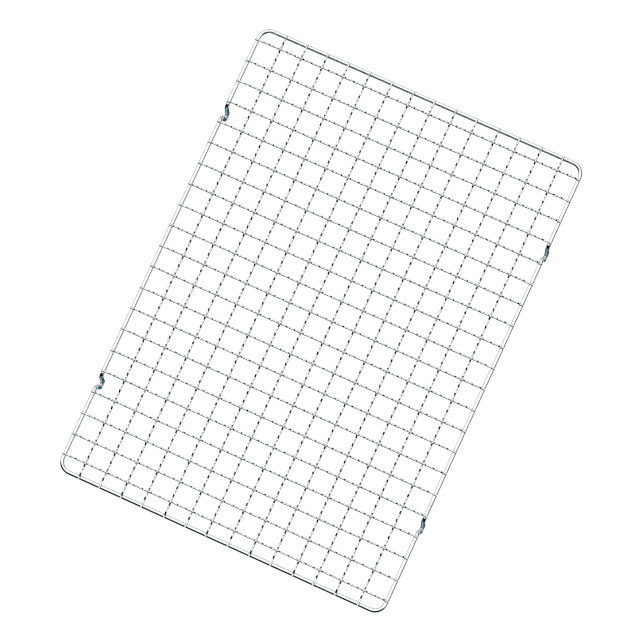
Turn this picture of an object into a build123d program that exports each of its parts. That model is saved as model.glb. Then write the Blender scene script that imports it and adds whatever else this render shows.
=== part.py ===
from build123d import *
import math
import os

# A footed cooling rack: a grid of crimped wires woven over and under each other, whose ends are
# welded on top of one thicker rim wire. Four feet are V bends in the rim wire's long sides.
# Frame: origin on the surface the feet stand on, under the rack's middle. X runs across the
# rack, Y along it and Z up. Millimetres.

# Rim wire
OUTER_WIDTH = 368.3  # over the rim, along X
OUTER_LENGTH = 508.0  # over the rim, along Y
RIM_WIRE_DIAMETER = 4.5
CORNER_RADIUS = 12.0  # of the rim wire's centreline, seen from above
BUTT_WELD_GAP = 1.4  # length of the bead that joins the rim wire's two ends
BUTT_WELD_UPSET = 0.2  # how far the bead stands proud of the wire

# Feet, measured on the rim wire's centreline
FOOT_DEPTH = 25.4  # from the rim's centreline down to the toe's centreline
FOOT_WIDTH = 22.4  # between the two points where the rim starts to bend down
FOOT_SHOULDER_RADIUS = 6.0
FOOT_TOE_RADIUS = 3.8

# Woven grid
GRID_WIRE_DIAMETER = 2.0
LONG_WIRE_COUNT = 14  # wires that run along Y, spread across X
LONG_WIRE_PITCH = 24.1
SHORT_WIRE_COUNT = 21  # wires that run along X, spread along Y
SHORT_WIRE_PITCH = 23.7
HALF_WAVES_PER_CELL = 5  # odd, so that a wire goes over one neighbour and under the next
WEAVE_CLEARANCE = 0.02  # between two wires where they cross
WELD_SETDOWN = 0.3  # how far each wire end is sunk into the top of the rim
SEAT_CUT_LENGTH = 8.0  # of the rim-shaped cut in a wire end, more than the wire is wide

# Rows are counted from the +Y end. The feet stand midway between these pairs of rows, and
# the butt weld is midway between the rows of its own pair, on the +X side.
FOOT_ROW_PAIRS = ((4, 5), (17, 18))
BUTT_WELD_ROW_PAIR = (16, 17)

rim_radius = RIM_WIRE_DIAMETER / 2
wire_radius = GRID_WIRE_DIAMETER / 2
half_width = OUTER_WIDTH / 2 - rim_radius
half_length = OUTER_LENGTH / 2 - rim_radius

# Heights
rim_height = rim_radius + FOOT_DEPTH
crimp_height = wire_radius + WEAVE_CLEARANCE / 2  # of a crest over the grid's middle plane
seat_height = rim_height + rim_radius + wire_radius - WELD_SETDOWN
grid_height = seat_height + crimp_height


def row_y(row):
    """Y of a short wire, or of a place between two of them when row isn't whole."""
    return ((SHORT_WIRE_COUNT + 1) / 2 - row) * SHORT_WIRE_PITCH


def column_x(column):
    """X of a long wire, counted from the -X side."""
    return (column - (LONG_WIRE_COUNT + 1) / 2) * LONG_WIRE_PITCH


def middle(pair):
    return sum(pair) / len(pair)


def swept_wire(edges, radius):
    """A round wire along a smooth chain of lines and arcs."""
    path = Wire(edges)
    section = Plane(origin=path @ 0, z_dir=path % 0) * Circle(radius)
    return sweep(section, path=path)


def foot_edges(x, y, direction):
    """The V of one foot, bent down from a side at x and travelled in Y towards direction.

    The two shoulders and the toe are arcs, and each leg is the straight line that touches
    both the shoulder's circle and the toe's circle, passing between them.
    """
    shoulder = (FOOT_WIDTH / 2, -FOOT_SHOULDER_RADIUS)
    toe = (0.0, FOOT_TOE_RADIUS - FOOT_DEPTH)
    span = math.dist(shoulder, toe)
    rise = math.atan2(shoulder[1] - toe[1], shoulder[0] - toe[0])
    cross = math.asin((FOOT_SHOULDER_RADIUS + FOOT_TOE_RADIUS) / span)
    leg = rise + cross  # slope of a leg above the horizontal

    def at(along, up):
        return (x, y + direction * along, rim_height + up)

    def on_shoulder(angle):
        return (
            shoulder[0] - FOOT_SHOULDER_RADIUS * math.sin(angle),
            shoulder[1] + FOOT_SHOULDER_RADIUS * math.cos(angle),
        )

    def on_toe(angle):
        return (
            toe[0] + FOOT_TOE_RADIUS * math.sin(angle),
            toe[1] - FOOT_TOE_RADIUS * math.cos(angle),
        )

    def mirrored(point):
        return (-point[0], point[1])

    shoulder_arc = [on_shoulder(angle) for angle in (0, leg / 2, leg)]
    return [
        ThreePointArc(*[at(*mirrored(point)) for point in shoulder_arc]),
        Line(at(*mirrored(on_shoulder(leg))), at(*on_toe(-leg))),
        ThreePointArc(*[at(*on_toe(angle)) for angle in (-leg, 0, leg)]),
        Line(at(*on_toe(leg)), at(*on_shoulder(leg))),
        ThreePointArc(*[at(*point) for point in reversed(shoulder_arc)]),
    ]


def rim_corner(x_side, y_side, clockwise):
    """A quarter turn of the rim, entered along Y when clockwise is false at a +X +Y corner."""
    centre_x = x_side * (half_width - CORNER_RADIUS)
    centre_y = y_side * (half_length - CORNER_RADIUS)
    diagonal = CORNER_RADIUS * math.sqrt(0.5)
    on_side = (x_side * half_width, centre_y, rim_height)
    between = (centre_x + x_side * diagonal, centre_y + y_side * diagonal, rim_height)
    on_end = (centre_x, y_side * half_length, rim_height)
    points = [on_end, between, on_side] if clockwise else [on_side, between, on_end]
    return ThreePointArc(*points)


def rim_edges():
    """The rim wire's centreline, once round from one face of the butt weld to the other."""
    foot_ys = sorted(row_y(middle(pair)) for pair in FOOT_ROW_PAIRS)
    weld_y = row_y(middle(BUTT_WELD_ROW_PAIR))
    half_foot = FOOT_WIDTH / 2
    side_end = half_length - CORNER_RADIUS
    end_side = half_width - CORNER_RADIUS

    def run(x, start, stop):
        return Line((x, start, rim_height), (x, stop, rim_height))

    def end_run(y, start, stop):
        return Line((start, y, rim_height), (stop, y, rim_height))

    low, high = foot_ys
    x = half_width
    edges = [run(x, weld_y + BUTT_WELD_GAP / 2, high - half_foot)]
    edges += foot_edges(x, high, 1)
    edges += [run(x, high + half_foot, side_end), rim_corner(1, 1, False)]
    edges += [end_run(half_length, end_side, -end_side), rim_corner(-1, 1, True)]
    edges += [run(-x, side_end, high + half_foot)]
    edges += foot_edges(-x, high, -1)
    edges += [run(-x, high - half_foot, low + half_foot)]
    edges += foot_edges(-x, low, -1)
    edges += [run(-x, low - half_foot, -side_end), rim_corner(-1, -1, False)]
    edges += [end_run(-half_length, -end_side, end_side), rim_corner(1, -1, True)]
    edges += [run(x, -side_end, low - half_foot)]
    edges += foot_edges(x, low, 1)
    edges += [run(x, low + half_foot, weld_y - BUTT_WELD_GAP / 2)]
    return edges


def butt_weld():
    """The bead between the rim wire's two ends: a disc with a crowned edge."""
    half_gap = BUTT_WELD_GAP / 2
    crown = ThreePointArc(
        (rim_radius, -half_gap),
        (rim_radius + BUTT_WELD_UPSET, 0),
        (rim_radius, half_gap),
    )
    outline = Polyline((rim_radius, half_gap), (0, half_gap), (0, -half_gap), (rim_radius, -half_gap))
    bead = revolve(make_face(crown + outline), axis=Axis.Y)
    return Pos(half_width, row_y(middle(BUTT_WELD_ROW_PAIR)), rim_height) * bead


def crimped_edges(count, pitch, first_is_over, reach, half_span, place):
    """The centreline of one grid wire, as straight ends and a wave of tangent arcs.

    count and pitch are those of the wires it crosses, reach is the distance from the middle
    to the rim's centreline and half_span the distance to the wire's own end. The wave has a
    crest or a trough at every crossing. Each end leaves the wave at its last trough before
    the rim's centreline and runs on level. place turns (distance along, height above the
    grid's middle plane) into a point.
    """
    half_wave = pitch / HALF_WAVES_PER_CELL
    quarter = half_wave / 2
    bend_radius = (quarter**2 + crimp_height**2) / (2 * crimp_height)
    bend_angle = math.asin(quarter / bend_radius)
    first = -(count - 1) / 2 * pitch
    last_half_wave = (count - 1) * HALF_WAVES_PER_CELL
    spare = math.floor((reach + first) / half_wave)

    def height(number):
        over = first_is_over if number % 2 == 0 else not first_is_over
        return crimp_height if over else -crimp_height

    def along(number):
        return first + number * half_wave

    start = -spare if height(-spare) < 0 else 1 - spare
    stop = last_half_wave + spare
    if height(stop) > 0:
        stop -= 1

    def quarter_arc(number, side):
        """From the trough to the middle plane on one side of it."""
        trough = (along(number), height(number))
        between = (
            trough[0] + side * bend_radius * math.sin(bend_angle / 2),
            trough[1] + bend_radius * (1 - math.cos(bend_angle / 2)),
        )
        return [trough, between, (trough[0] + side * quarter, 0)]

    def arc(points):
        return ThreePointArc(*[place(*point) for point in points])

    edges = [Line(place(-half_span, -crimp_height), place(along(start), -crimp_height))]
    edges.append(arc(quarter_arc(start, 1)))
    for number in range(start + 1, stop):
        middle_s = along(number)
        edges.append(arc([(middle_s - quarter, 0), (middle_s, height(number)), (middle_s + quarter, 0)]))
    edges.append(arc(reversed(quarter_arc(stop, -1))))
    edges.append(Line(place(along(stop), -crimp_height), place(half_span, -crimp_height)))
    return edges


def long_wire(column):
    """A wire along Y. It goes over a row when column and row add up to an even number."""
    x = column_x(column)
    # The wave is counted from -Y, where the last row is, and that row's number is odd.
    edges = crimped_edges(
        SHORT_WIRE_COUNT,
        SHORT_WIRE_PITCH,
        (column + SHORT_WIRE_COUNT) % 2 == 0,
        half_length,
        half_length + rim_radius,
        lambda s, h: (x, s, grid_height + h),
    )
    wire = swept_wire(edges, wire_radius)
    for end in (-1, 1):
        seat = Rotation(0, 90, 0) * Cylinder(rim_radius, SEAT_CUT_LENGTH)
        wire -= Pos(x, end * half_length, rim_height) * seat
    return wire


def short_wire(row):
    """A wire along X. It goes over the long wires that the grid's long_wire passes under."""
    y = row_y(row)
    edges = crimped_edges(
        LONG_WIRE_COUNT,
        LONG_WIRE_PITCH,
        (1 + row) % 2 == 1,
        half_width,
        half_width + rim_radius,
        lambda s, h: (s, y, grid_height + h),
    )
    wire = swept_wire(edges, wire_radius)
    for end in (-1, 1):
        seat = Rotation(90, 0, 0) * Cylinder(rim_radius, SEAT_CUT_LENGTH)
        wire -= Pos(end * half_width, y, rim_height) * seat
    return wire


def write(name, shape):
    shape.label = name
    export_step(shape, f"parts/{name}.step")
    print(name, "volume", round(shape.volume, 1), "valid", shape.is_valid)


os.makedirs("parts", exist_ok=True)

write("rim_wire", swept_wire(rim_edges(), rim_radius))
write("rim_butt_weld", butt_weld())
for column in range(1, LONG_WIRE_COUNT + 1):
    write(f"long_wire_{column:02d}", long_wire(column))
for row in range(1, SHORT_WIRE_COUNT + 1):
    write(f"short_wire_{row:02d}", short_wire(row))
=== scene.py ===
import logging
import math
from dataclasses import dataclass
from enum import Enum

import bpy
import numpy as np
from mathutils import Matrix, Vector


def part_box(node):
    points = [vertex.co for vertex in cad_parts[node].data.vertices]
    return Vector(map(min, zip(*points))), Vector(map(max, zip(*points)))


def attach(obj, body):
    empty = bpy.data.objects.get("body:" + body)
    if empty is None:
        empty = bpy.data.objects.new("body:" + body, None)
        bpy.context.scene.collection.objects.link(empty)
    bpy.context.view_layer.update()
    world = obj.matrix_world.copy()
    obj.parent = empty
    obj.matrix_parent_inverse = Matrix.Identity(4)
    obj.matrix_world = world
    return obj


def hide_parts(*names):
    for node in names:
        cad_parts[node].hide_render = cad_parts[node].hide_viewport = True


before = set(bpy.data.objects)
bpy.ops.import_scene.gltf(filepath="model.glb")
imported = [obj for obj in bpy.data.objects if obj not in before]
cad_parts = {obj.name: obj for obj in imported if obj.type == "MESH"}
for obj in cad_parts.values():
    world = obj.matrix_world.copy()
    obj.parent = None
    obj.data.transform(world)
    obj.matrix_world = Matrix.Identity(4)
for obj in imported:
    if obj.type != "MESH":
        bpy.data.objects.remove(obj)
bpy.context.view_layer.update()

# A chrome-plated cooling rack: crimped grid wires woven over and under each other, welded on
# top of a thicker rim wire whose long sides are bent down into four feet. Every wire is drawn
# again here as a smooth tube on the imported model's places, with its welds and its finish.
# Metres. X runs across the rack, Y along it and Z up. Rows count from +Y, columns from -X.

log = logging.getLogger("cooling_rack")
logging.basicConfig(level=logging.INFO, format="%(message)s")

Array = np.ndarray
Samples = tuple[Array, Array]  # points along a line, and the directions there
Pair = tuple[float, float]
Colour = tuple[float, float, float]
Socket = bpy.types.NodeSocket
Tree = bpy.types.NodeTree
Piece = bpy.types.Object
MM = 0.001
RIM_DIAMETER = 4.5 * MM
BODY = "root"
STRAIGHT = "straight_wire"  # where a point would be if its wire were pulled straight
RUBBED_AND_SHADED = "rubbed_and_shaded"  # 1 where wires cross and rub, 0 away from there; the grey it gives at the crossings is wear and painted shade together
HEATED = "heated"  # 1 at a weld, 0 away from it


class Run(Enum):
    """Which way a grid wire runs."""

    LENGTHWISE = "long_wire"
    CROSSWISE = "short_wire"

    def laid(self, rows: Array) -> Array:
        """Turns (along, across, up) into (X, Y, Z) for a wire of this run."""
        return rows[..., [1, 0, 2]] if self is Run.LENGTHWISE else rows


# ----- Surfaces -----


@dataclass
class Surface:
    """Points, faces and per-point values of one or more closed skins."""

    points: Array
    quads: Array
    triangles: Array
    straight: Array
    rubbed_and_shaded: Array
    heated: Array

    @staticmethod
    def joined(surfaces: list["Surface"]) -> "Surface":
        """One surface that holds several.

        Args:
            surfaces: The surfaces to put together.

        Returns:
            A surface with every point and face, where face numbers are moved up by the points
            that come before them.
        """
        starts = np.cumsum([0] + [len(s.points) for s in surfaces[:-1]])
        joined = {}
        for label in ("points", "straight", "rubbed_and_shaded", "heated"):
            joined[label] = np.concatenate([getattr(s, label) for s in surfaces])
        for label in ("quads", "triangles"):
            faces = [getattr(s, label) + start for s, start in zip(surfaces, starts)]
            joined[label] = np.concatenate(faces)
        return Surface(**joined)

    def to_object(self, name: str) -> Piece:
        """Writes the surface into a mesh object at the origin, smooth but for its flat end faces.

        Args:
            name: The object's name.

        Returns:
            The new object, linked to the scene.
        """
        mesh = bpy.data.meshes.new(name)
        mesh.vertices.add(len(self.points))
        mesh.vertices.foreach_set("co", self.points.astype(np.float32).ravel())
        corners = np.concatenate([self.quads.ravel(), self.triangles.ravel()])
        totals = np.concatenate([np.full(len(self.quads), 4), np.full(len(self.triangles), 3)])
        mesh.loops.add(len(corners))
        mesh.loops.foreach_set("vertex_index", corners.astype(np.int32))
        mesh.polygons.add(len(totals))
        starts = np.concatenate([[0], np.cumsum(totals)[:-1]])
        mesh.polygons.foreach_set("loop_start", starts.astype(np.int32))
        mesh.polygons.foreach_set("loop_total", totals.astype(np.int32))
        mesh.polygons.foreach_set("use_smooth", totals == 4)
        mesh.update(calc_edges=True)
        mesh.validate()
        straight = mesh.attributes.new(STRAIGHT, "FLOAT_VECTOR", "POINT")
        straight.data.foreach_set("vector", self.straight.astype(np.float32).ravel())
        for label, values in ((RUBBED_AND_SHADED, self.rubbed_and_shaded), (HEATED, self.heated)):
            attribute = mesh.attributes.new(label, "FLOAT", "POINT")
            attribute.data.foreach_set("value", values.astype(np.float32))
        piece = bpy.data.objects.new(name, mesh)
        bpy.context.scene.collection.objects.link(piece)
        return piece


@dataclass
class Path:
    """A wire's centreline with the two directions that span its section.

    Attributes:
        points: The centreline, one row a sample.
        out: Unit vectors across the wire, level.
        up: Unit vectors across the wire, square to out.
    """

    points: Array
    out: Array
    up: Array

    @staticmethod
    def along(points: Array, tangents: Array) -> "Path":
        """A path whose out direction is the tangent crossed with Z, so it stays level.

        Args:
            points: The centreline.
            tangents: Its direction at each point, none of them upright.

        Returns:
            The path with its section directions.
        """
        out = np.cross(tangents, [0.0, 0.0, 1.0])
        out /= np.linalg.norm(out, axis=1, keepdims=True)
        up = np.cross(out, tangents)
        up /= np.linalg.norm(up, axis=1, keepdims=True)
        return Path(points, out, up)

    def lengths(self) -> Array:
        """Distance along the centreline to each sample."""
        steps = np.linalg.norm(np.diff(self.points, axis=0), axis=1)
        return np.concatenate([[0.0], np.cumsum(steps)])


def wire_skin(
    path: Path,
    wide: Array,
    high: Array,
    sides: int,
    rubbed_and_shaded: Array,
    heated: Array,
    squareness: float = 0.0,
) -> Surface:
    """The skin of a wire: a section carried along a path and closed at both ends.

    A point at sample i and angle a is centre(i) + k (wide(i) cos a out(i) + high(i) sin a up(i)),
    with k = 1 + squareness sin squared(2 a), which fills the section's corners a little. Both
    ends are closed by a fan round the centre of the end's face.

    Args:
        path: The centreline and section directions.
        wide: Half the width of the section at each sample.
        high: Half the height of the section at each sample.
        sides: How many points go round the section.
        rubbed_and_shaded: How rubbed the wire is at each sample; where grid wires cross it also lays
            painted shade.
        heated: How near a weld each sample is.
        squareness: How far the section is from an ellipse.

    Returns:
        The closed skin, faces outward.
    """
    count = len(path.points)
    angle = np.linspace(0.0, math.tau, sides, endpoint=False)
    fill = 1.0 + squareness * np.sin(2 * angle) ** 2
    across = wide[:, None] * fill * np.cos(angle)
    above = high[:, None] * fill * np.sin(angle)
    rings = path.points[:, None] + across[..., None] * path.out[:, None]
    rings = rings + above[..., None] * path.up[:, None]
    ring, side = np.meshgrid(np.arange(count - 1), np.arange(sides), indexing="ij")
    here = ring * sides + side
    beside = ring * sides + (side + 1) % sides
    quads = np.stack([here, here + sides, beside + sides, beside], axis=-1).reshape(-1, 4)
    turn = np.arange(sides)
    onward = (turn + 1) % sides
    last = (count - 1) * sides
    first_pole = count * sides
    start_fan = np.stack([turn, onward, np.full(sides, first_pole)], axis=-1)
    end_fan = np.stack([onward + last, turn + last, np.full(sides, first_pole + 1)], axis=-1)
    run = np.broadcast_to(path.lengths()[:, None], across.shape)
    straight = np.stack([run, across, above], axis=-1).reshape(-1, 3)
    poles = path.points[[0, -1]]
    pole_straight = np.array([[0.0, 0.0, 0.0], [path.lengths()[-1], 0.0, 0.0]])
    return Surface(
        np.concatenate([rings.reshape(-1, 3), poles]),
        quads[:, ::-1],
        np.concatenate([start_fan[:, ::-1], end_fan[:, ::-1]]),
        np.concatenate([straight, pole_straight]),
        np.concatenate([np.repeat(rubbed_and_shaded, sides), rubbed_and_shaded[[0, -1]]]),
        np.concatenate([np.repeat(heated, sides), heated[[0, -1]]]),
    )


def bump(distance: Array, reach: float) -> Array:
    """A smooth hill, 1 at distance 0: the Gaussian exp(-(distance / reach) squared)."""
    return np.exp(-((distance / reach) ** 2))


def cut_end(distance: Array, size: float) -> Array:
    """The share of its full radius that a wire keeps near a cut end with a rounded edge.

    A quarter circle of radius size rounds the edge: the share is
    1 - size (1 - sqrt(1 - (1 - d / size) squared)), with d the distance from the end.

    Args:
        distance: Distance from the cut end in parts of the wire's radius.
        size: Radius of the rounding in parts of the wire's radius.

    Returns:
        The share, between 1 - size and 1.
    """
    inside = np.clip(1.0 - distance / size, 0.0, 1.0)
    return 1.0 - size * (1.0 - np.sqrt(1.0 - inside**2))


# ----- Sizes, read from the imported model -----


@dataclass(frozen=True)
class RackSizes:
    """The rack's driving sizes in metres."""

    rim_radius: float
    wire_radius: float
    half_width: float
    half_length: float
    rim_height: float
    foot_depth: float
    grid_height: float
    crimp_height: float
    columns: int
    rows: int
    column_pitch: float
    row_pitch: float

    @staticmethod
    def from_frame() -> "RackSizes":
        """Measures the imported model's nodes.

        Returns:
            The sizes, from the boxes of the rim and of the first two wires of each run.
        """
        names = list(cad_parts)
        columns = sum(name.startswith(Run.LENGTHWISE.value) for name in names)
        rows = sum(name.startswith(Run.CROSSWISE.value) for name in names)
        rim_low, rim_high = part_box("rim_wire")
        long_low, long_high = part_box("long_wire_01")
        next_low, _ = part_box("long_wire_02")
        short_low, short_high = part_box("short_wire_01")
        below_low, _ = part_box("short_wire_02")
        rim_radius = RIM_DIAMETER / 2
        wire_radius = (short_high.y - short_low.y) / 2
        return RackSizes(
            rim_radius=rim_radius,
            wire_radius=wire_radius,
            half_width=(rim_high.x - rim_low.x) / 2 - rim_radius,
            half_length=(rim_high.y - rim_low.y) / 2 - rim_radius,
            rim_height=rim_high.z - rim_radius,
            foot_depth=rim_high.z - rim_low.z - 2 * rim_radius,
            grid_height=(long_high.z + long_low.z) / 2,
            crimp_height=(long_high.z - long_low.z) / 2 - wire_radius,
            columns=columns,
            rows=rows,
            column_pitch=next_low.x - long_low.x,
            row_pitch=short_low.y - below_low.y,
        )

    def row_y(self, row: float) -> float:
        """Y of a short wire, or of a place between two of them."""
        return ((self.rows + 1) / 2 - row) * self.row_pitch

    def column_x(self, column: float) -> float:
        """X of a long wire."""
        return (column - (self.columns + 1) / 2) * self.column_pitch

    def place(self, run: Run, number: int) -> float:
        """X of a long wire or Y of a short one."""
        return self.column_x(number) if run is Run.LENGTHWISE else self.row_y(number)

    def count(self, run: Run) -> int:
        """How many wires run that way."""
        return self.columns if run is Run.LENGTHWISE else self.rows

    def reach(self, run: Run) -> float:
        """Distance from the rack's middle to the rim's centreline, along a wire of that run."""
        return self.half_length if run is Run.LENGTHWISE else self.half_width


# ----- Rim -----


@dataclass
class RimWire:
    """The thick wire round the rack, with its rounded corners and its four feet."""

    sizes: RackSizes
    corner_radius: float = 12.0 * MM
    foot_width: float = 22.4 * MM
    shoulder_radius: float = 6.0 * MM
    toe_radius: float = 3.8 * MM
    bead_gap: float = 1.4 * MM
    end_land: float = 0.05 * MM
    foot_rows: Pair = (4.5, 17.5)
    bead_row: float = 16.5
    sides: int = 40
    straight_step: float = 3.0 * MM
    arc_step: float = math.radians(4.0)
    fewest_in_line: int = 2
    fewest_in_arc: int = 3
    heat_reach: float = 4.0 * MM

    def line(self, start: Pair, stop: Pair) -> Samples:
        """Samples of a straight run in a plane: start + t (stop - start).

        Args:
            start: First point in the plane.
            stop: Last point in the plane.

        Returns:
            The points and their directions, the last point left out.
        """
        a, b = np.array(start), np.array(stop)
        length = np.linalg.norm(b - a)
        count = max(self.fewest_in_line, round(length / self.straight_step))
        share = np.linspace(0.0, 1.0, count, endpoint=False)[:, None]
        return a + share * (b - a), np.repeat((b - a)[None] / length, count, axis=0)

    def arc(self, centre: Pair, radius: float, start: float, turn: float) -> Samples:
        """Samples of an arc in a plane: centre + radius (cos a, sin a).

        Args:
            centre: The arc's centre.
            radius: Its radius.
            start: The angle of its first point.
            turn: How far it turns, positive to the left.

        Returns:
            The points and their directions, the last point left out.
        """
        count = max(self.fewest_in_arc, round(abs(turn) / self.arc_step))
        angle = start + turn * np.linspace(0.0, 1.0, count, endpoint=False)
        spoke = np.stack([np.cos(angle), np.sin(angle)], axis=-1)
        ahead = np.stack([-np.sin(angle), np.cos(angle)], axis=-1) * np.sign(turn)
        return np.array(centre) + radius * spoke, ahead

    def foot(self) -> Samples:
        """One foot's V in its own upright plane, centred on 0 and travelled to the right.

        Each leg is the line that touches both the shoulder's circle and the toe's circle and
        passes between them: its slope is the slope of the line of centres plus the angle whose
        sine is the sum of the radii over the distance between the centres.

        Returns:
            The points and their directions, height counted from the rim's centreline.
        """
        half, shoulder, toe = self.foot_width / 2, self.shoulder_radius, self.toe_radius
        rise = self.sizes.foot_depth - shoulder - toe
        leg = math.atan2(rise, half) + math.asin((shoulder + toe) / math.hypot(half, rise))
        toe_centre = (0.0, toe - self.sizes.foot_depth)
        right = math.pi / 2
        leg_top = (half - shoulder * math.sin(leg), shoulder * (math.cos(leg) - 1.0))
        leg_foot = (toe * math.sin(leg), toe_centre[1] - toe * math.cos(leg))
        pieces = [
            self.arc((-half, -shoulder), shoulder, right, -leg),
            self.line((-leg_top[0], leg_top[1]), (-leg_foot[0], leg_foot[1])),
            self.arc(toe_centre, toe, -right - leg, 2 * leg),
            self.line(leg_foot, leg_top),
            self.arc((half, -shoulder), shoulder, right + leg, -leg),
        ]
        return np.concatenate([p for p, _ in pieces]), np.concatenate([d for _, d in pieces])

    def side(self, y_start: float, y_stop: float) -> Samples:
        """A long side travelled upwards in Y, as (Y, height) with the feet in its way.

        Args:
            y_start: Where the run starts.
            y_stop: Where it stops.

        Returns:
            The points and their directions in the side's upright plane.
        """
        points, ahead = [], []
        here = y_start
        half = self.foot_width / 2
        for row in sorted(self.foot_rows, reverse=True):
            y = self.sizes.row_y(row)
            if y_start < y < y_stop:
                run, foot = self.line((here, 0.0), (y - half, 0.0)), self.foot()
                points += [run[0], foot[0] + np.array([y, 0.0])]
                ahead += [run[1], foot[1]]
                here = y + half
        run = self.line((here, 0.0), (y_stop, 0.0))
        return np.concatenate([*points, run[0]]), np.concatenate([*ahead, run[1]])

    def raised(self, x: float, piece: Samples, way: int) -> Samples:
        """Puts a side's samples in space, at the rim's height.

        Args:
            x: The side's place.
            piece: Points and directions as (Y, height), travelled upwards in Y.
            way: 1 to travel up in Y, or -1 to travel down, which mirrors the side in Y.

        Returns:
            Points and directions in space.
        """
        flat, ahead = piece
        level = self.sizes.rim_height
        points = np.stack([np.full(len(flat), x), way * flat[:, 0], level + flat[:, 1]], axis=-1)
        directions = np.stack([np.zeros(len(flat)), way * ahead[:, 0], ahead[:, 1]], axis=-1)
        return points, directions

    def level(self, piece: Samples) -> Samples:
        """Lifts samples in the plan to the rim's height."""
        flat, ahead = piece
        height = np.full((len(flat), 1), self.sizes.rim_height)
        return np.hstack([flat, height]), np.hstack([ahead, np.zeros((len(flat), 1))])

    def centreline(self) -> Path:
        """The rim's centreline, once round from one face of the weld bead to the other.

        Returns:
            The path, anticlockwise from above.
        """
        sizes, radius = self.sizes, self.corner_radius
        side_end, end_side = sizes.half_length - radius, sizes.half_width - radius
        bead = sizes.row_y(self.bead_row)
        quarter = math.pi / 2
        pieces = [
            self.raised(sizes.half_width, self.side(bead + self.bead_gap / 2, side_end), 1),
            self.level(self.arc((end_side, side_end), radius, 0.0, quarter)),
            self.level(self.line((end_side, sizes.half_length), (-end_side, sizes.half_length))),
            self.level(self.arc((-end_side, side_end), radius, quarter, quarter)),
            self.raised(-sizes.half_width, self.side(-side_end, side_end), -1),
            self.level(self.arc((-end_side, -side_end), radius, 2 * quarter, quarter)),
            self.level(self.line((-end_side, -sizes.half_length), (end_side, -sizes.half_length))),
            self.level(self.arc((end_side, -side_end), radius, -quarter, quarter)),
            self.raised(sizes.half_width, self.side(-side_end, bead - self.bead_gap / 2), 1),
        ]
        points = np.concatenate([p for p, _ in pieces])
        ahead = np.concatenate([d for _, d in pieces])
        end = np.array([sizes.half_width, bead - self.bead_gap / 2, sizes.rim_height])
        land = self.end_land * ahead[0]
        points = np.vstack([points[0], points[0] + land, points[1:], end - land, end])
        ahead = np.vstack([ahead[0], ahead[0], ahead[1:], ahead[-1], ahead[-1]])
        return Path.along(points, ahead)

    def build(self) -> Piece:
        """The rim wire's mesh, rubbed where it bends, most at the toes, and heated at its ends.

        Returns:
            The finished piece.
        """
        path = self.centreline()
        run = path.lengths()
        radius = np.full(len(run), self.sizes.rim_radius)
        bend = np.linalg.norm(np.gradient(path.up + path.out, run, axis=0), axis=1)
        rubbed_and_shaded = np.clip(bend * self.toe_radius, 0.0, 1.0)
        heated = bump(np.minimum(run, run[-1] - run), self.heat_reach)
        skin = wire_skin(path, radius, radius, self.sides, rubbed_and_shaded, heated)
        return ButtWeld(self).dressed(skin).to_object("rim_wire_smooth")


@dataclass
class ButtWeld:
    """The weld that closes the rim wire's two ends, ground nearly flush after welding."""

    rim: RimWire
    upset: float = 0.015 * MM
    crown_power: float = 0.7
    ripples: int = 3
    ripple_depth: float = 0.2
    samples: int = 25
    ground_depth: float = 0.13 * MM
    ground_half: float = 11.0 * MM
    ground_lean: float = math.radians(18.0)

    def dressed(self, surface: Surface) -> Surface:
        """Grinds a shallow flat along the wire over the weld.

        Whatever stands further than radius - depth along the flat's normal is pressed back to
        it, where the depth is ground_depth (1 - (d / ground_half) squared) squared and d is
        the distance from the weld.

        Args:
            surface: The skin of the rim or of the bead.

        Returns:
            The same surface with the flat on it.
        """
        sizes = self.rim.sizes
        centre = np.array([sizes.half_width, sizes.row_y(self.rim.bead_row), sizes.rim_height])
        normal = np.array([-math.sin(self.ground_lean), 0.0, math.cos(self.ground_lean)])
        offset = surface.points - centre
        near = np.clip(1.0 - (offset[:, 1] / self.ground_half) ** 2, 0.0, 1.0)
        beside = np.abs(offset[:, 0]) < 2 * sizes.rim_radius
        depth = self.ground_depth * near**2
        proud = np.clip(offset @ normal - (sizes.rim_radius - depth), 0.0, None)
        surface.points -= (proud * (near > 0.0) * beside)[:, None] * normal
        return surface

    def build(self) -> Piece:
        """The bead's mesh: a disc whose edge is a very low crown with fine ripples on it.

        The radius at a share t of the bead's length is the wire's radius plus
        upset (sin(pi t) to the crown power) (1 - ripple depth sin squared(ripples pi t)).

        Returns:
            The finished piece.
        """
        sizes, gap = self.rim.sizes, self.rim.bead_gap
        share = np.linspace(0.0, 1.0, self.samples)
        y = sizes.row_y(self.rim.bead_row) + gap * (share - 0.5)
        x, z = np.full_like(y, sizes.half_width), np.full_like(y, sizes.rim_height)
        points = np.stack([x, y, z], axis=-1)
        crown = np.sin(math.pi * share) ** self.crown_power
        ripple = 1.0 - self.ripple_depth * np.sin(self.ripples * math.pi * share) ** 2
        radius = sizes.rim_radius + self.upset * crown * ripple
        path = Path.along(points, np.tile([0.0, 1.0, 0.0], (self.samples, 1)))
        worn = np.zeros(self.samples)
        skin = wire_skin(path, radius, radius, self.rim.sides, worn, np.ones(self.samples))
        return self.dressed(skin).to_object("rim_butt_weld_bead")


# ----- Grid -----


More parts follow.
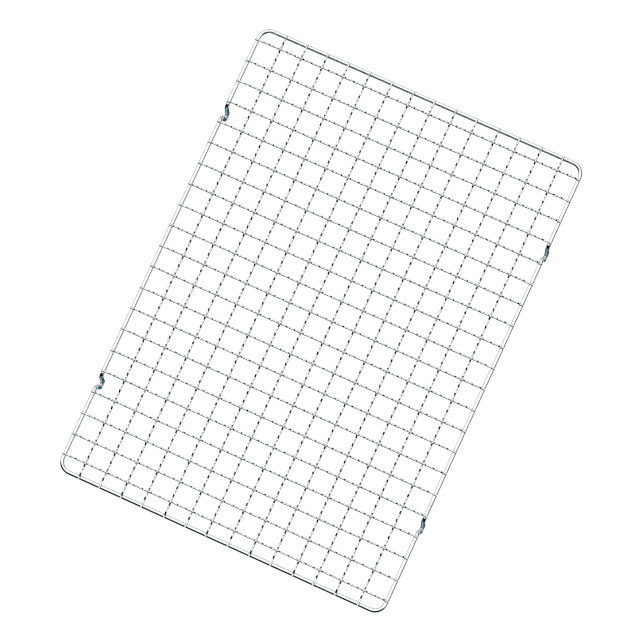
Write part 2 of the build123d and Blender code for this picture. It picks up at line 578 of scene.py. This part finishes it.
@dataclass
class Crimp:
    """The wave pressed into a grid wire: arcs of one radius that curve up and down in turn.

    Attributes:
        first: Where the first crossing is, along the wire.
        half_wave: Distance from a crest to the next trough.
        height: Height of a crest over the middle plane.
        first_over: Whether the wave has a crest at the first crossing.
        start: Number of the trough where the wave starts, counted from the first crossing.
        stop: Number of the trough where it stops.
        samples: How many samples a half wave has.
    """

    first: float
    half_wave: float
    height: float
    first_over: bool
    start: int
    stop: int
    samples: int = 12

    @property
    def low(self) -> float:
        """Where the wave starts."""
        return self.first + self.start * self.half_wave

    @property
    def high(self) -> float:
        """Where the wave stops."""
        return self.first + self.stop * self.half_wave

    def stations(self) -> Array:
        """Evenly spaced places from the wave's start to its stop."""
        return np.linspace(self.low, self.high, (self.stop - self.start) * self.samples + 1)

    def profile(self, along: Array) -> tuple[Array, Array]:
        """Height and slope of the centreline.

        With u the distance to the nearest crest or trough and R the bend radius, the height is
        side (height - R + sqrt(R squared - u squared)). Beyond the first and last trough the
        wire is level.

        Args:
            along: Distances along the wire.

        Returns:
            The heights over the middle plane and the slopes.
        """
        quarter = self.half_wave / 2
        radius = (quarter**2 + self.height**2) / (2 * self.height)
        number = np.clip(np.rint((along - self.first) / self.half_wave), self.start, self.stop)
        offset = along - (self.first + number * self.half_wave)
        offset = np.where((along < self.low) | (along > self.high), 0.0, offset)
        side = np.where((number % 2 == 0) == self.first_over, 1.0, -1.0)
        drop = np.sqrt(radius**2 - offset**2)
        return side * (self.height - radius + drop), -side * offset / drop


@dataclass
class GridWire:
    """One crimped wire of the woven grid."""

    sizes: RackSizes
    run: Run
    number: int
    drift: "WeaveDrift"
    half_waves_per_cell: int = 5
    sides: int = 16
    seat_sag: float = 0.13
    seat_spread: float = 0.10
    seat_reach: float = 1.3 * MM
    seat_samples: int = 12
    edge_round: float = 0.16
    edge_samples: int = 5
    squareness: float = 0.10
    # How far the grey round each crossing reaches: rubbing wear and painted shade together.
    rub_and_shade_reach: float = 1.5 * MM
    heat_reach: float = 2.6 * MM

    @property
    def name(self) -> str:
        """The CAD node that this wire stands for."""
        return f"{self.run.value}_{self.number:02d}"

    @property
    def reach(self) -> float:
        """Distance from the rack's middle to the rim's centreline, along the wire."""
        return self.sizes.reach(self.run)

    def crimp(self) -> Crimp:
        """The wave of this wire.

        Returns:
            The wave, which ends at the last troughs before the rim at both ends.
        """
        sizes = self.sizes
        if self.run is Run.LENGTHWISE:
            count, pitch = sizes.rows, sizes.row_pitch
            first_over = (self.number + sizes.rows) % 2 == 0
        else:
            count, pitch = sizes.columns, sizes.column_pitch
            first_over = (self.number + 1) % 2 == 1
        half_wave = pitch / self.half_waves_per_cell
        first = -(count - 1) / 2 * pitch
        last = (count - 1) * self.half_waves_per_cell
        spare = math.floor((self.reach + first) / half_wave)
        start_over = first_over == (spare % 2 == 0)
        stop_over = first_over == ((last + spare) % 2 == 0)
        start = -spare + int(start_over)
        stop = last + spare - int(stop_over)
        return Crimp(first, half_wave, sizes.crimp_height, first_over, start, stop)

    def stations(self, crimp: Crimp) -> Array:
        """Distances along the wire where its section is drawn.

        Args:
            crimp: The wire's wave.

        Returns:
            Samples over the wave, and closer ones over each end's seat and cut edge.
        """
        end = self.reach + self.sizes.rim_radius
        edge = self.edge_round * self.sizes.wire_radius
        turn = np.linspace(0.0, math.pi / 2, self.edge_samples)
        rounding = edge * (1.0 - np.cos(turn))[:-1]
        seat_low, seat_high = (
            np.linspace(end - 2 * edge, reach, self.seat_samples)[:-1]
            for reach in (-crimp.low, crimp.high)
        )
        parts = [rounding - end, -seat_low, crimp.stations(), seat_high[::-1], (end - rounding)[::-1]]
        return np.concatenate(parts)

    def surface(self) -> Surface:
        """The wire's skin.

        Returns:
            The skin, flattened a little where each end is pressed on the rim.
        """
        sizes, crimp = self.sizes, self.crimp()
        along = self.stations(crimp)
        height, slope = crimp.profile(along)
        seat = bump(np.abs(along) - self.reach, self.seat_reach)
        end = self.reach + sizes.rim_radius
        share = cut_end((end - np.abs(along)) / sizes.wire_radius, self.edge_round)
        level = sizes.grid_height + height - self.seat_sag * sizes.wire_radius * seat
        place = np.full_like(along, sizes.place(self.run, self.number))
        points = self.run.laid(np.stack([along, place, level], axis=-1))
        onward, flat = np.ones_like(along), np.zeros_like(along)
        ahead = self.run.laid(np.stack([onward, flat, slope], axis=-1))
        ahead /= np.linalg.norm(ahead, axis=1, keepdims=True)
        wide = sizes.wire_radius * share * (1.0 + self.seat_spread * seat)
        high = sizes.wire_radius * share * (1.0 - self.seat_sag * seat)
        cell = crimp.half_wave * self.half_waves_per_cell
        to_crossing = np.abs((along - crimp.first + cell / 2) % cell - cell / 2)
        inside = np.abs(along) < self.reach - crimp.half_wave
        # Grey at each crossing: partly wear from the wires rubbing, partly painted shade where they meet.
        rubbed_and_shaded = bump(to_crossing, self.rub_and_shade_reach) * inside
        path = Path.along(points, ahead)
        heated = bump(np.abs(along) - self.reach, self.heat_reach)
        return wire_skin(path, wide, high, self.sides, rubbed_and_shaded, heated, self.squareness)

    def build(self) -> Piece:
        """The wire's mesh."""
        return self.drift.moved(self.surface()).to_object(f"{self.name}_smooth")


@dataclass
class WeaveDrift:
    """How the hand-laid grid strays from an exact one.

    The drift is one smooth field over the plan, so crossing wires move together and the weave
    stays whole. It dies away towards the rim in each wire's own direction, so that the cut ends
    stay flush with the rim.

    Attributes:
        sizes: The rack's sizes.
        chance: Where the uneven part comes from.
        lean: Sideways drift of the long wires for each metre of their length.
        stray: Typical sideways stray of one wire.
        bow: Typical bow of one wire.
    """

    sizes: RackSizes
    chance: np.random.Generator
    lean: float = 0.005
    stray: float = 0.30 * MM
    bow: float = 0.35 * MM

    def __post_init__(self) -> None:
        """Draws the offset, lean and bow of every wire, and none for the rim beside them."""
        self.column_knots, self.column_drift = self.drawn(
            self.sizes.columns, self.sizes.half_width / self.sizes.column_pitch, self.lean
        )
        self.row_knots, self.row_drift = self.drawn(
            self.sizes.rows, self.sizes.half_length / self.sizes.row_pitch, 0.0
        )

    def drawn(self, count: int, reach: float, lean: float) -> tuple[Array, Array]:
        """The drift of one run of wires.

        Args:
            count: How many wires.
            reach: Distance from the middle to the rim, in pitches.
            lean: Their common lean.

        Returns:
            The wires' numbers with the rim's place at both ends, and for each of them an
            offset, a lean and a bow.
        """
        middle = (count + 1) / 2
        knots = np.concatenate([[middle - reach], np.arange(1, count + 1), [middle + reach]])
        values = np.zeros((count + 2, 3))
        values[1:-1, 0] = self.chance.normal(0.0, self.stray, count)
        values[1:-1, 1] = lean * self.sizes.half_length + self.chance.normal(0.0, self.stray, count)
        values[1:-1, 2] = self.chance.normal(0.0, self.bow, count)
        return knots, values

    def field(self, number: Array, share: Array, knots: Array, drift: Array) -> Array:
        """The sideways drift: offset + lean t + bow cos(pi t / 2), eased between wires.

        Args:
            number: Place across the wires, in wire numbers.
            share: Place t along the wires, from -1 to 1 between the rims.
            knots: Wire numbers that the drift is drawn at.
            drift: The offset, lean and bow at each of them.

        Returns:
            The drift at each place.
        """
        spot = np.clip(np.searchsorted(knots, number) - 1, 0, len(knots) - 2)
        between = np.clip((number - knots[spot]) / (knots[spot + 1] - knots[spot]), 0.0, 1.0)
        ease = (between * between * (3.0 - 2.0 * between))[:, None]
        offset, lean, bow = (drift[spot] * (1.0 - ease) + drift[spot + 1] * ease).T
        return offset + lean * share + bow * np.cos(math.pi * share / 2)

    def moved(self, surface: Surface) -> Surface:
        """Shifts a surface by the drift at each of its points.

        Args:
            surface: A wire's or a weld's skin in its exact place.

        Returns:
            The same surface, moved in the plan.
        """
        sizes = self.sizes
        x, y = surface.points[:, 0].copy(), surface.points[:, 1].copy()
        column = x / sizes.column_pitch + (sizes.columns + 1) / 2
        row = (sizes.rows + 1) / 2 - y / sizes.row_pitch
        along_x, along_y = x / sizes.half_width, y / sizes.half_length
        surface.points[:, 0] += self.field(column, along_y, self.column_knots, self.column_drift)
        surface.points[:, 1] += self.field(row, along_x, self.row_knots, self.row_drift)
        return surface


@dataclass
class WeldFlash:
    """The small lips of metal squeezed out beside each wire where it is welded to the rim."""

    sizes: RackSizes
    drift: WeaveDrift
    chance: np.random.Generator
    long_half: float = 1.15 * MM
    wide_half: float = 0.42 * MM
    high_half: float = 0.30 * MM
    flank: float = 0.86  # a lip's distance from the wire's middle, in parts of its radius
    tip: float = 0.12  # angle left off at each tip
    length_range: Pair = (0.85, 1.15)
    girth_range: Pair = (0.8, 1.15)
    samples: int = 7
    sides: int = 8

    def lip(self, centre: Array, ahead: Array) -> Surface:
        """One lip: a ball stretched along the wire, its half width following a half circle.

        Args:
            centre: Its middle.
            ahead: The direction of the wire it lies beside.

        Returns:
            The closed skin.
        """
        angle = np.linspace(self.tip, math.pi - self.tip, self.samples)
        along = -np.cos(angle)[:, None] * self.long_half * self.chance.uniform(*self.length_range)
        round_share = np.sin(angle)
        path = Path.along(centre + along * ahead, np.repeat(ahead[None], self.samples, axis=0))
        grown = self.chance.uniform(*self.girth_range)
        wide = self.wide_half * grown * round_share
        high = self.high_half * grown * round_share
        still = np.zeros(self.samples)
        return wire_skin(path, wide, high, self.sides, still, np.ones(self.samples))

    def build(self, run: Run, end: int) -> Piece:
        """The lips of every wire of one run at one end, as one piece.

        Args:
            run: Which wires.
            end: -1 or 1, the end of the rack that they reach.

        Returns:
            The finished piece.
        """
        sizes = self.sizes
        top = sizes.rim_height + sizes.rim_radius
        side = sizes.wire_radius * self.flank
        ahead = run.laid(np.array([1.0, 0.0, 0.0]))
        lips = []
        for number in range(1, sizes.count(run) + 1):
            for hand in (-1, 1):
                across = sizes.place(run, number) + hand * side
                centre = run.laid(np.array([end * sizes.reach(run), across, top]))
                lips.append(self.lip(centre, ahead))
        ends = ("front", "back") if run is Run.LENGTHWISE else ("left", "right")
        surface = self.drift.moved(Surface.joined(lips))
        return surface.to_object(f"weld_flash_{ends[int(end > 0)]}")


# ----- Finishes -----


NODE_SPACING = 180.0
LINE_SCALE = 9000.0  # noise cells to a metre, across the drawing lines
LINE_ROUGHNESS = 0.05  # roughness that the drawing lines add
LINE_RELIEF = 0.5  # share of the drawing lines' depth that shows
HAZE_RANGE = (0.42, 0.70)  # noise where the haze begins and where it is whole
PIT_SCALE = 1400.0  # cells to a metre, each of which may hold a pit
PIT_SIZE = 0.16  # a pit's radius in cells
PIT_CHOICE = 0.86  # a cell holds a pit when its own random grey is above this
SMEAR_RANGE = (0.5, 0.75)  # noise where a smear begins and where it is whole
DULLING = 0.8  # how far the plate turns to its dull colour at its most worn, and at the painted shade of the grid crossings


class Nodes:
    """Short calls for building a node tree from left to right."""

    def __init__(self, tree: Tree) -> None:
        """Keeps the tree and a running place for the next node."""
        self.tree = tree
        self.step = 0

    def add(self, kind: str, inputs: dict | None = None, **settings: object) -> bpy.types.Node:
        """Adds a node.

        Args:
            kind: The node's type.
            inputs: For each input's name or number, a socket to link or a value to set.
            **settings: The node's own settings.

        Returns:
            The node.
        """
        node = self.tree.nodes.new(kind)
        node.location = (self.step * NODE_SPACING, 0.0)
        self.step += 1
        for key, value in settings.items():
            setattr(node, key, value)
        for key, value in (inputs or {}).items():
            if isinstance(value, Socket):
                self.tree.links.new(value, node.inputs[key])
            else:
                node.inputs[key].default_value = value
        return node

    def math(
        self, operation: str, first: object, second: object = 0.0, clamp: bool = False
    ) -> Socket:
        """Adds a Math node.

        Args:
            operation: Its operation.
            first: A socket or a number.
            second: A socket or a number.
            clamp: Whether the result is kept between 0 and 1.

        Returns:
            Its output.
        """
        node = self.add("ShaderNodeMath", {0: first, 1: second}, operation=operation, use_clamp=clamp)
        return node.outputs[0]

    def rise(self, value: Socket, low: float, high: float, **settings: object) -> Socket:
        """Adds a Map Range node whose output goes from 0 at low to 1 at high."""
        inputs = {0: value, 1: low, 2: high, 3: 0.0, 4: 1.0}
        return self.add("ShaderNodeMapRange", inputs, **settings).outputs[0]


class Group(Nodes):
    """A shader node group under construction, with a Vector input and number sockets."""

    def __init__(self, name: str, inputs: dict[str, float], outputs: list[str]) -> None:
        """Makes the group and its sockets.

        Args:
            name: The group's name.
            inputs: Each number input and its default.
            outputs: The number outputs.
        """
        super().__init__(bpy.data.node_groups.new(name, "ShaderNodeTree"))
        sockets = self.tree.interface
        sockets.new_socket("Vector", in_out="INPUT", socket_type="NodeSocketVector")
        for label, default in inputs.items():
            socket = sockets.new_socket(label, in_out="INPUT", socket_type="NodeSocketFloat")
            socket.default_value = default
        for label in outputs:
            sockets.new_socket(label, in_out="OUTPUT", socket_type="NodeSocketFloat")
        self.source = self.add("NodeGroupInput").outputs

    def closed(self, **results: Socket) -> Tree:
        """Links what the group puts out, and gives the finished group."""
        self.add("NodeGroupOutput", results)
        return self.tree


def drawn_lines_group() -> Tree:
    """Fine lines along a wire, left by the die that it was drawn through.

    The wire's straightened place is squeezed along its length, so that noise on it becomes
    streaks.

    Returns:
        A group that turns the straightened place into a height between 0 and 1.
    """
    group = Group("drawn_lines", {"Fineness": 1.0, "Stretch": 60.0}, ["Height"])
    squeeze = group.math("DIVIDE", 1.0, group.source["Stretch"])
    scale = group.add("ShaderNodeCombineXYZ", {0: squeeze, 1: 1.0, 2: 1.0})
    inputs = {0: group.source["Vector"], 1: scale.outputs[0]}
    place = group.add("ShaderNodeVectorMath", inputs, operation="MULTIPLY")
    size = group.math("MULTIPLY", group.source["Fineness"], LINE_SCALE)
    inputs = {"Vector": place.outputs[0], "Scale": size, "Detail": 2.0}
    return group.closed(Height=group.add("ShaderNodeTexNoise", inputs).outputs["Fac"])


def plating_haze_group() -> Tree:
    """Soft patches where the plating is a little cloudy, and small specks where it is pitted.

    Returns:
        A group that turns a place into a haze mask and a pit mask.
    """
    group = Group("plating_haze", {"Size": 0.02, "Pitting": 0.5}, ["Haze", "Pits"])
    place = group.source["Vector"]
    broad = group.math("DIVIDE", 1.0, group.source["Size"])
    inputs = {"Vector": place, "Scale": broad, "Detail": 4.0, "Roughness": 0.6}
    haze = group.rise(group.add("ShaderNodeTexNoise", inputs).outputs["Fac"], *HAZE_RANGE)
    cells = group.add("ShaderNodeTexVoronoi", {"Vector": place, "Scale": PIT_SCALE}).outputs
    pit = group.math("LESS_THAN", cells["Distance"], PIT_SIZE)
    chosen = group.math("GREATER_THAN", cells["Color"], PIT_CHOICE)
    pits = group.math("MULTIPLY", group.math("MULTIPLY", pit, chosen), group.source["Pitting"])
    return group.closed(Haze=haze, Pits=pits)


def handling_group() -> Tree:
    """Faint marks from washing and stacking: long smears that cross the wires.

    Returns:
        A group that turns a place on the rack into a smear mask.
    """
    group = Group("handling_marks", {"Spread": 0.09}, ["Smear"])
    size = group.math("DIVIDE", 1.0, group.source["Spread"])
    inputs = {"Vector": group.source["Vector"], "Scale": size, "Detail": 3.0, "Distortion": 1.2}
    warp = group.add("ShaderNodeTexNoise", inputs).outputs["Fac"]
    return group.closed(Smear=group.rise(warp, *SMEAR_RANGE))


@dataclass(frozen=True)
class ChromeFinish:
    """Bright chrome plate over steel wire.

    Attributes:
        name: The material's name.
        bright: Colour of clean plate.
        dull: Colour where the plate is cloudy, rubbed or heated, and the painted shade where grid wires
            cross.
        gloss: Roughness of clean plate.
        haze: Roughness added where the plate is cloudy.
        wear: Roughness added where wires rub.
        heat: Roughness added at welds.
        line_depth: Depth of the drawing lines in metres.
        fineness: How close together the drawing lines are.
        pitting: How strongly pits show.
    """

    name: str
    bright: Colour
    dull: Colour
    gloss: float
    haze: float
    wear: float
    heat: float
    line_depth: float
    fineness: float
    pitting: float

    def material(self, groups: dict[str, Tree]) -> bpy.types.Material:
        """Builds the material.

        Args:
            groups: The shared node groups by name.

        Returns:
            The material.
        """
        material = bpy.data.materials.new(self.name)
        material.use_nodes = True
        material.node_tree.nodes.clear()
        build = Nodes(material.node_tree)
        straight = build.add("ShaderNodeAttribute", attribute_name=STRAIGHT)
        rubbed_and_shaded = build.add("ShaderNodeAttribute", attribute_name=RUBBED_AND_SHADED).outputs["Fac"]
        heated = build.add("ShaderNodeAttribute", attribute_name=HEATED).outputs["Fac"]
        place = build.add("ShaderNodeTexCoord").outputs["Object"]
        lines = build.add(
            "ShaderNodeGroup",
            {"Vector": straight.outputs["Vector"], "Fineness": self.fineness},
            node_tree=groups["drawn_lines"],
        )
        plate = build.add(
            "ShaderNodeGroup", {"Vector": place, "Pitting": self.pitting}, node_tree=groups["plating_haze"]
        )
        marks = build.add("ShaderNodeGroup", {"Vector": place}, node_tree=groups["handling_marks"])
        cloudy = build.math("MULTIPLY", plate.outputs["Haze"], marks.outputs["Smear"])
        rough = build.math("MULTIPLY_ADD", cloudy, self.haze)
        rough.node.inputs[2].default_value = self.gloss
        worn = build.math("MULTIPLY", rubbed_and_shaded, self.wear)
        warm = build.math("MULTIPLY", heated, self.heat)
        streak = build.math("MULTIPLY", lines.outputs["Height"], LINE_ROUGHNESS)
        used = build.math("ADD", rough, worn)
        rough = build.math("ADD", used, build.math("ADD", warm, streak), clamp=True)
        # The dull colour stands for haze, smears, pits, heat and wear, and at the grid crossings it is
        # painted shade as well.
        dulled = build.math("MAXIMUM", build.math("MAXIMUM", cloudy, rubbed_and_shaded), heated)
        dulled = build.math("MULTIPLY", dulled, DULLING)
        dulled = build.math("MAXIMUM", dulled, plate.outputs["Pits"], clamp=True)
        colour = build.add("ShaderNodeMix", {0: dulled}, data_type="RGBA")
        colour.inputs[6].default_value = (*self.bright, 1.0)
        colour.inputs[7].default_value = (*self.dull, 1.0)
        relief = build.math("SUBTRACT", lines.outputs["Height"], plate.outputs["Pits"])
        inputs = {"Height": relief, "Distance": self.line_depth, "Strength": LINE_RELIEF}
        normal = build.add("ShaderNodeBump", inputs)
        shader = build.add(
            "ShaderNodeBsdfPrincipled",
            {
                "Base Color": colour.outputs[2],
                "Roughness": rough,
                "Metallic": 1.0,
                "Normal": normal.outputs[0],
            },
        )
        build.add("ShaderNodeOutputMaterial", {"Surface": shader.outputs[0]})
        return material


RIM_FINISH = ChromeFinish(
    name="chromed_rim_wire_plate",
    bright=(0.88, 0.90, 0.91),
    dull=(0.72, 0.75, 0.77),
    gloss=0.05,
    haze=0.10,
    wear=0.04,
    heat=0.03,
    line_depth=0.006 * MM,
    fineness=0.7,
    pitting=0.5,
)
GRID_FINISH = ChromeFinish(
    name="chromed_grid_wire_plate",
    bright=(0.87, 0.89, 0.90),
    dull=(0.66, 0.70, 0.72),
    gloss=0.07,
    haze=0.10,
    wear=0.12,
    heat=0.14,
    line_depth=0.005 * MM,
    fineness=1.0,
    pitting=0.4,
)
WELD_FINISH = ChromeFinish(
    name="chromed_weld_plate",
    bright=(0.86, 0.88, 0.89),
    dull=(0.76, 0.79, 0.80),
    gloss=0.07,
    haze=0.12,
    wear=0.05,
    heat=0.05,
    line_depth=0.010 * MM,
    fineness=0.5,
    pitting=0.8,
)


# ----- Studio -----


@dataclass(frozen=True)
class Backdrop:
    """What the chrome mirrors towards one side of the studio.

    Attributes:
        side: The level direction that it stands in.
        begins: How far a direction must lean to that side for the backdrop to begin.
        whole: How far it must lean for nothing else to show.
        stops: Sines of heights over the horizon, each with the colour there.
    """

    side: Pair
    begins: float
    whole: float
    stops: tuple[tuple[float, Colour], ...]


TEAL = (0.03, 0.10, 0.12)
TEAL_LOW = (0.04, 0.12, 0.14)
TEAL_EDGE = (0.05, 0.14, 0.16)
GREY = (0.5, 0.55, 0.55)
DUSK = (0.07, 0.09, 0.09)
BLACK = (0.002, 0.003, 0.004)
PALE = (0.95, 0.98, 0.98)
PALE_RIGHT = (0.9, 0.93, 0.93)
SOFTBOX = (1.12, 1.12, 1.12)
WHITE = (1.0, 1.0, 1.0)

ALL_ROUND = Backdrop(
    side=(0.0, 0.0),
    begins=0.0,
    whole=0.0,
    stops=(
        (-1.0, TEAL),
        (-0.84, TEAL_EDGE),
        (-0.6, PALE),
        (-0.22, PALE),
        (-0.06, DUSK),
        (0.14, DUSK),
        (0.30, SOFTBOX),
    ),
)
RIGHT = Backdrop(
    side=(1.0, 0.0),
    begins=0.25,
    whole=0.5,
    stops=(
        (-1.0, TEAL),
        (-0.84, TEAL_LOW),
        (-0.6, PALE_RIGHT),
        (-0.22, PALE_RIGHT),
        (-0.14, BLACK),
        (0.50, BLACK),
        (0.60, SOFTBOX),
    ),
)
FRONT = Backdrop(
    side=(0.0, -1.0),
    begins=0.15,
    whole=0.4,
    stops=(
        (-1.0, TEAL),
        (-0.7, TEAL_LOW),
        (-0.5, GREY),
        (-0.35, BLACK),
        (0.83, BLACK),
        (0.89, SOFTBOX),
    ),
)


@dataclass
class Studio:
    """A pale floor that shines, a soft surround that is dark on two sides, and the camera.

    Attributes:
        floor_size: Length of the floor's sides.
        floor_cells: How many cells the floor has on each side.
        floor_white: Its albedo.
        floor_glow: How bright it shines by itself, as a light table does.
        floor_rough: Its roughness.
        floor_sheen: How strongly its surface mirrors.
        backdrops: What stands round the rack, each one in front of those before it.
        overhead: How bright the surround is to everything but mirrors and the camera.
        shown: What the camera itself sees behind the floor's edge.
        tilt: Angle between the camera's line and the upright.
        side: Which way the camera leans, from -Y towards +X.
        turn: How far the view's upward direction is turned from +Y towards -X.
        distance: From the rack's middle to the camera.
        far: How far the camera sees.
        lens: Focal length in millimetres.
        aim: Where the camera points, from the rack's middle.
        sharpness: Width of the film's filter, narrow because the wires are so thin.
    """

    floor_size: float = 40.0
    floor_cells: int = 8
    floor_white: float = 0.92
    floor_glow: float = 0.56
    floor_rough: float = 0.9
    floor_sheen: float = 0.1
    backdrops: tuple[Backdrop, ...] = (ALL_ROUND, RIGHT, FRONT)
    overhead: float = 0.62
    shown: Colour = WHITE
    tilt: float = math.radians(9.0)
    side: float = math.radians(49.0)
    turn: float = math.radians(24.64)
    distance: float = 4.0
    far: float = 100.0
    lens: float = 219.3
    aim: Pair = (-0.3 * MM, -3.0 * MM)
    sharpness: float = 1.1

    def floor(self) -> None:
        """A wide flat sheet that the feet stand on, left out of what the chrome mirrors."""
        half, cells = self.floor_size / 2, self.floor_cells
        share = np.linspace(-half, half, cells + 1)
        x, y = np.meshgrid(share, share, indexing="xy")
        points = np.stack([x.ravel(), y.ravel(), np.zeros(x.size)], axis=-1)
        column, row = np.meshgrid(np.arange(cells), np.arange(cells), indexing="xy")
        corner = (row * (cells + 1) + column).ravel()
        above = corner + cells + 1
        quads = np.stack([corner, corner + 1, above + 1, above], axis=-1)
        mesh = bpy.data.meshes.new("studio_floor")
        mesh.from_pydata(points.tolist(), [], quads.tolist())
        floor = bpy.data.objects.new("studio_floor", mesh)
        bpy.context.scene.collection.objects.link(floor)
        material = bpy.data.materials.new("pale_floor")
        material.use_nodes = True
        shader = material.node_tree.nodes["Principled BSDF"]
        for label, value in (
            ("Base Color", (self.floor_white,) * 3 + (1.0,)),
            ("Roughness", self.floor_rough),
            ("Specular IOR Level", self.floor_sheen),
            ("Emission Color", (*WHITE, 1.0)),
            ("Emission Strength", self.floor_glow),
        ):
            shader.inputs[label].default_value = value
        mesh.materials.append(material)
        floor.visible_glossy = False

    def ramp(self, build: Nodes, height: Socket, backdrop: Backdrop) -> Socket:
        """A backdrop's colours over the height above the horizon.

        Args:
            build: The tree's builder.
            height: A socket from 0 straight down to 1 straight up.
            backdrop: The backdrop.

        Returns:
            The ramp's colour.
        """
        ramp = build.add("ShaderNodeValToRGB", {0: height})
        ramp.color_ramp.interpolation = "EASE"
        elements = ramp.color_ramp.elements
        while len(elements) < len(backdrop.stops):
            elements.new(0.5)
        for element, (sine, colour) in zip(elements, backdrop.stops):
            element.position = (sine + 1.0) / 2
            element.color = (*colour, 1.0)
        return ramp.outputs[0]

    def surround(self) -> None:
        """Soft white light from above, with the backdrops round the horizon."""
        world = bpy.data.worlds.new("studio_surround")
        world.use_nodes = True
        world.node_tree.nodes.clear()
        bpy.context.scene.world = world
        build = Nodes(world.node_tree)
        way = build.add("ShaderNodeTexCoord").outputs["Generated"]
        rise = build.add("ShaderNodeSeparateXYZ", {0: way}).outputs[2]
        height = build.rise(rise, -1.0, 1.0)
        first, *others = self.backdrops
        colour = self.ramp(build, height, first)
        for backdrop in others:
            lean = build.add(
                "ShaderNodeVectorMath", {0: way, 1: (*backdrop.side, 0.0)}, operation="DOT_PRODUCT"
            ).outputs["Value"]
            share = build.rise(lean, backdrop.begins, backdrop.whole, interpolation_type="SMOOTHSTEP")
            inputs = {0: share, 6: colour, 7: self.ramp(build, height, backdrop)}
            colour = build.add("ShaderNodeMix", inputs, data_type="RGBA").outputs[2]
        path = build.add("ShaderNodeLightPath").outputs
        lit = build.add("ShaderNodeMix", {0: path["Is Diffuse Ray"], 6: colour}, data_type="RGBA")
        lit.inputs[7].default_value = (self.overhead,) * 3 + (1.0,)
        inputs = {0: path["Is Camera Ray"], 6: lit.outputs[2]}
        shown = build.add("ShaderNodeMix", inputs, data_type="RGBA")
        shown.inputs[7].default_value = (*self.shown, 1.0)
        light = build.add("ShaderNodeBackground", {0: shown.outputs[2]})
        build.add("ShaderNodeOutputWorld", {0: light.outputs[0]})

    def camera(self) -> None:
        """The scene's camera, far off and almost overhead, leaning to the near right corner."""
        low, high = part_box("rim_wire")
        middle = Vector(((low.x + high.x) / 2, (low.y + high.y) / 2, high.z - RIM_DIAMETER / 2))
        lean = Vector((math.sin(self.side), -math.cos(self.side), 0.0)) * math.sin(self.tilt)
        stand = (lean + Vector((0.0, 0.0, math.cos(self.tilt)))) * self.distance
        back = (stand - Vector((*self.aim, 0.0))).normalized()
        right = Vector((-math.sin(self.turn), math.cos(self.turn), 0.0)).cross(back).normalized()
        data = bpy.data.cameras.new("studio_camera")
        data.lens = self.lens
        data.clip_end = self.far
        camera = bpy.data.objects.new("studio_camera", data)
        camera.location = middle + stand
        camera.rotation_euler = Matrix((right, back.cross(right), back)).transposed().to_euler()
        bpy.context.scene.collection.objects.link(camera)
        bpy.context.scene.camera = camera

    def build(self) -> None:
        """Makes the floor, the surround and the camera."""
        self.floor()
        self.surround()
        self.camera()
        scene = bpy.context.scene
        scene.view_settings.view_transform = "Standard"
        scene.cycles.filter_width = self.sharpness
        scene.cycles.use_denoising = False


# ----- The rack -----


@dataclass
class CoolingRack:
    """The whole rack."""

    sizes: RackSizes
    groups: dict[str, Tree]
    seed: int = 14

    def place(
        self, piece: Piece, material: bpy.types.Material, slot: str, *nodes: str
    ) -> None:
        """Dresses a piece and ties it to the frame.

        Args:
            piece: The finished piece.
            material: Its finish.
            slot: The record's material slot. Not used.
            *nodes: The CAD nodes that it stands for.
        """
        piece.data.materials.append(material)
        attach(piece, BODY)
        if nodes:
            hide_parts(*nodes)
        corners = np.array(piece.bound_box)
        size = (corners.max(axis=0) - corners.min(axis=0)) / MM
        log.info("%s: %d faces, %.2f x %.2f x %.2f mm", piece.name, len(piece.data.polygons), *size)

    def build(self) -> None:
        """Builds the rim, its bead, the grid wires and the weld flash."""
        rim_plate = RIM_FINISH.material(self.groups)
        grid_plate = GRID_FINISH.material(self.groups)
        weld_plate = WELD_FINISH.material(self.groups)
        rim = RimWire(self.sizes)
        self.place(rim.build(), rim_plate, "chromed_rim_wire", "rim_wire")
        self.place(ButtWeld(rim).build(), weld_plate, "chromed_weld", "rim_butt_weld")
        drift = WeaveDrift(self.sizes, np.random.default_rng(self.seed))
        for run in Run:
            for number in range(1, self.sizes.count(run) + 1):
                wire = GridWire(self.sizes, run, number, drift)
                self.place(wire.build(), grid_plate, "chromed_grid_wire", wire.name)
        flash = WeldFlash(self.sizes, drift, np.random.default_rng(self.seed + 1))
        for run in Run:
            for end in (-1, 1):
                self.place(flash.build(run, end), weld_plate, "chromed_weld")


def main() -> None:
    """Builds the studio and the rack; each of the rack's pieces logs its size as it is placed."""
    groups = {
        "drawn_lines": drawn_lines_group(),
        "plating_haze": plating_haze_group(),
        "handling_marks": handling_group(),
    }
    Studio().build()
    CoolingRack(RackSizes.from_frame(), groups).build()


if __name__ == "__main__":
    main()
